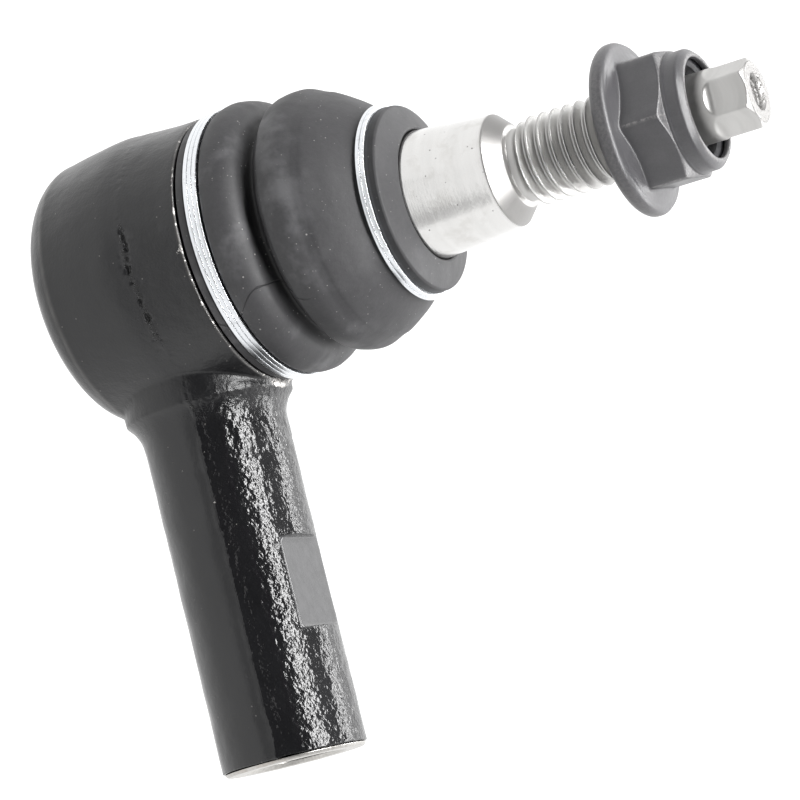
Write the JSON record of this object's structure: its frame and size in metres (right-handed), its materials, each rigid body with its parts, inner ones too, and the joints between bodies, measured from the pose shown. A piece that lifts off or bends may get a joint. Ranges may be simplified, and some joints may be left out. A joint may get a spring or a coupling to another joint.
{
  "type": "tie rod end",
  "caption": "Forged tie rod end: ball stud in a round head with rubber boot and flange nut, on a straight shank bored and threaded for the rod.",
  "frame": {"origin": "middle of the shank's end face, where the tie rod screws in; the ball's centre is 70 mm back along X", "axes": "+X along the shank, out of its threaded hole; +Z along the round head, towards the stud, which rests leaning 2 degrees from +Z towards +X; +Y completes the right-handed frame"},
  "size_m": [0.0901, 0.0402, 0.1023],
  "materials": {
    "housing": "semi-gloss black paint on a forged surface",
    "closing_cap": "semi-gloss black paint",
    "preload_spring": "oiled spring steel",
    "lower_bearing_shell": "off-white acetal",
    "upper_bearing_shell": "off-white acetal",
    "ball_stud": "ground and rolled bright steel",
    "dust_boot": "matte black rubber",
    "boot_base_ring": "bright zinc-plated flat wire",
    "boot_top_ring": "bright zinc-plated flat wire",
    "flange_nut": "satin black phosphate",
    "locking_insert": "black nylon"
  },
  "bodies": {
    "housing": {"housing": "housing", "closing_cap": "closing_cap", "preload_spring": "preload_spring"},
    "liner": {"lower_bearing_shell": "lower_bearing_shell", "upper_bearing_shell": "upper_bearing_shell", "dust_boot": "dust_boot", "boot_base_ring": "boot_base_ring"},
    "boot_neck": {"boot_top_ring": "boot_top_ring"},
    "stud": {"ball_stud": "ball_stud"},
    "nut_lock": {"locking_insert": "locking_insert"},
    "nut": {"flange_nut": "flange_nut"}
  },
  "joints": [
    {"name": "swing_direction", "type": "hinge", "parent": "housing", "child": "liner", "pos_m": [-0.07, 0, 0], "axis": [0, 0, 1], "continuous": true},
    {"name": "swing", "type": "hinge", "parent": "liner", "child": "boot_neck", "pos_m": [-0.07, 0, 0], "axis": [0, 1, 0], "range_deg": [-24, 20], "deforming": ["dust_boot"]},
    {"name": "spin", "type": "hinge", "parent": "boot_neck", "child": "stud", "pos_m": [-0.07, 0, 0], "axis": [0.0349, 0, 0.9994], "continuous": true},
    {"name": "nut_travel", "type": "slide", "parent": "stud", "child": "nut_lock", "axis": [0.0349, 0, 0.9994], "range_m": [-0.01226, 0.00876]},
    {"name": "nut_turn", "type": "hinge", "parent": "nut_lock", "child": "nut", "pos_m": [-0.06737, 0, 0.07545], "axis": [0.0349, 0, 0.9994], "range_deg": [-2520, 1800]}
  ],
  "couplings": [
    {"joint": "nut_travel", "follows": "nut_turn", "m_per_rad": 0.00027852}
  ]
}
